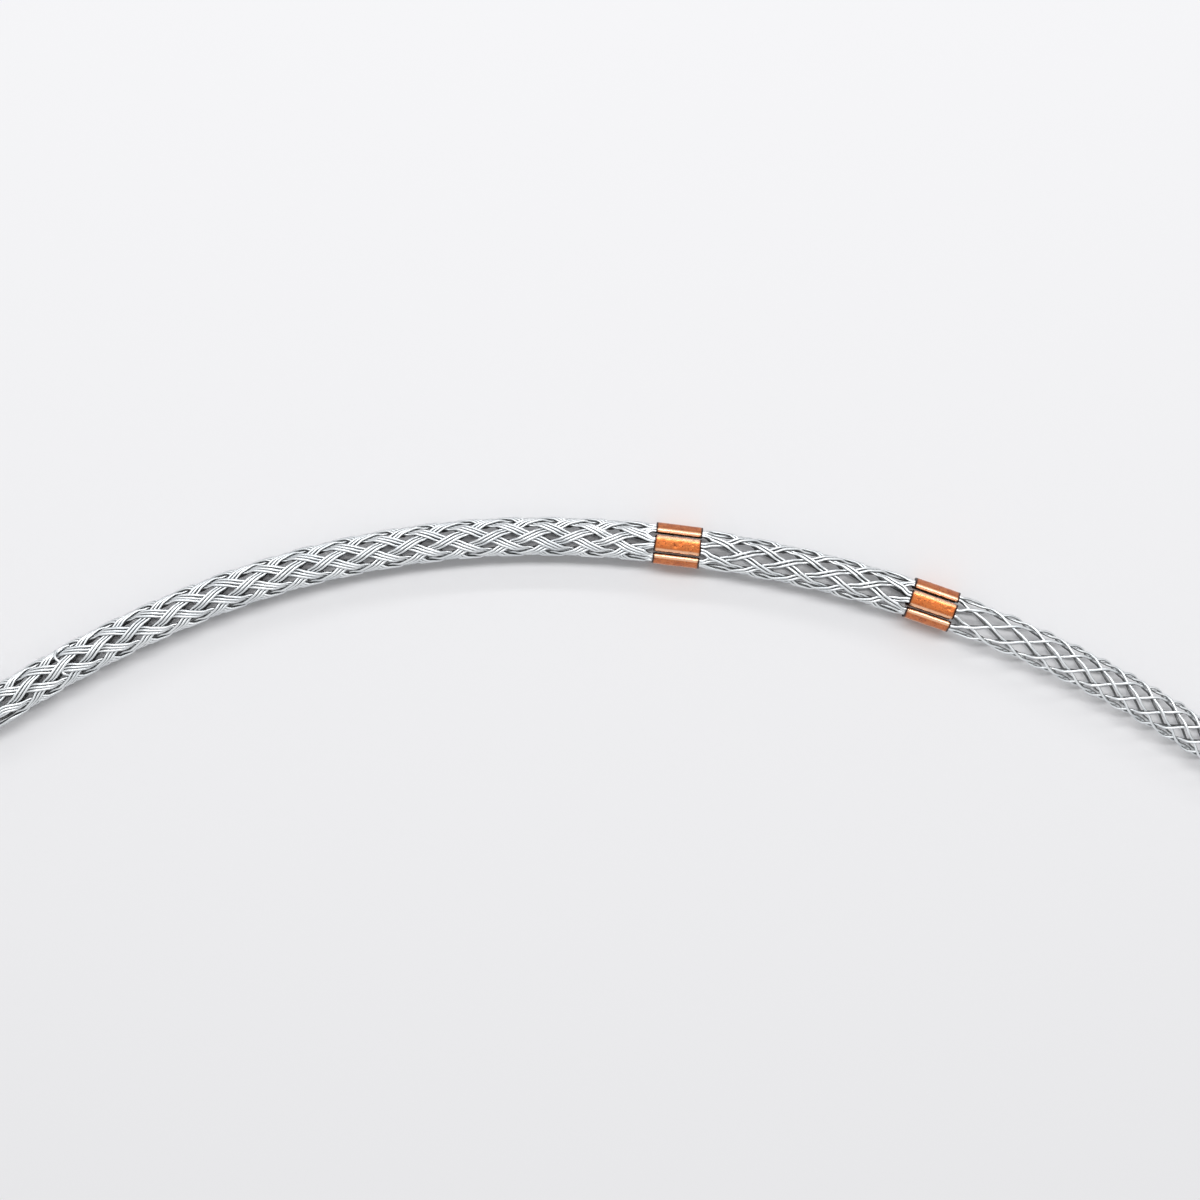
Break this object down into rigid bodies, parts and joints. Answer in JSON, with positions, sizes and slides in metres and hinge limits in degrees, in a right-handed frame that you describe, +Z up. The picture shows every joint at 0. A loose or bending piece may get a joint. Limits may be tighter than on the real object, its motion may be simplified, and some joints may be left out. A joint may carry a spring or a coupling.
{
  "type": "cable pulling grip",
  "caption": "Long woven wire pulling grip with an open mesh mouth, two rings of copper sleeves, a pressed ferrule and a pulling eye.",
  "frame": {"origin": "middle of the flat underside of the lowest sleeve in the first ring", "axes": "+X from the pulling eye towards the open mouth, +Z up from the surface that the grip lies on"},
  "size_m": [1.0673, 0.2699, 0.03],
  "materials": {
    "galvanised_strand": "satin zinc",
    "galvanised_wire": "satin zinc",
    "copper_sleeve": "drawn copper, pressed",
    "pressed_ferrule": "satin, pressed",
    "eye_rope": "satin zinc"
  },
  "bodies": {
    "root": {"triple_strand_clockwise_1_head_half": "galvanised_strand", "triple_strand_clockwise_1_ring_half": "galvanised_strand", "double_strand_clockwise_1": "galvanised_strand", "triple_strand_counter_1_head_half": "galvanised_strand", "triple_strand_counter_1_ring_half": "galvanised_strand", "double_strand_counter_1": "galvanised_strand", "mouth_wire_1": "galvanised_wire", "first_ring_sleeve_1": "copper_sleeve", "second_ring_sleeve_1": "copper_sleeve", "triple_strand_clockwise_2_head_half": "galvanised_strand", "triple_strand_clockwise_2_ring_half": "galvanised_strand", "double_strand_clockwise_2": "galvanised_strand", "triple_strand_counter_2_head_half": "galvanised_strand", "triple_strand_counter_2_ring_half": "galvanised_strand", "double_strand_counter_2": "galvanised_strand", "mouth_wire_2": "galvanised_wire", "first_ring_sleeve_2": "copper_sleeve", "second_ring_sleeve_2": "copper_sleeve", "triple_strand_clockwise_3_head_half": "galvanised_strand", "triple_strand_clockwise_3_ring_half": "galvanised_strand", "double_strand_clockwise_3": "galvanised_strand", "triple_strand_counter_3_head_half": "galvanised_strand", "triple_strand_counter_3_ring_half": "galvanised_strand", "double_strand_counter_3": "galvanised_strand", "mouth_wire_3": "galvanised_wire", "first_ring_sleeve_3": "copper_sleeve", "second_ring_sleeve_3": "copper_sleeve", "triple_strand_clockwise_4_head_half": "galvanised_strand", "triple_strand_clockwise_4_ring_half": "galvanised_strand", "double_strand_clockwise_4": "galvanised_strand", "triple_strand_counter_4_head_half": "galvanised_strand", "triple_strand_counter_4_ring_half": "galvanised_strand", "double_strand_counter_4": "galvanised_strand", "mouth_wire_4": "galvanised_wire", "first_ring_sleeve_4": "copper_sleeve", "second_ring_sleeve_4": "copper_sleeve", "triple_strand_clockwise_5_head_half": "galvanised_strand", "triple_strand_clockwise_5_ring_half": "galvanised_strand", "double_strand_clockwise_5": "galvanised_strand", "triple_strand_counter_5_head_half": "galvanised_strand", "triple_strand_counter_5_ring_half": "galvanised_strand", "double_strand_counter_5": "galvanised_strand", "mouth_wire_5": "galvanised_wire", "first_ring_sleeve_5": "copper_sleeve", "second_ring_sleeve_5": "copper_sleeve", "triple_strand_clockwise_6_head_half": "galvanised_strand", "triple_strand_clockwise_6_ring_half": "galvanised_strand", "double_strand_clockwise_6": "galvanised_strand", "triple_strand_counter_6_head_half": "galvanised_strand", "triple_strand_counter_6_ring_half": "galvanised_strand", "double_strand_counter_6": "galvanised_strand", "mouth_wire_6": "galvanised_wire", "first_ring_sleeve_6": "copper_sleeve", "second_ring_sleeve_6": "copper_sleeve", "head_ferrule": "pressed_ferrule", "pulling_eye": "eye_rope"}
  },
  "joints": []
}
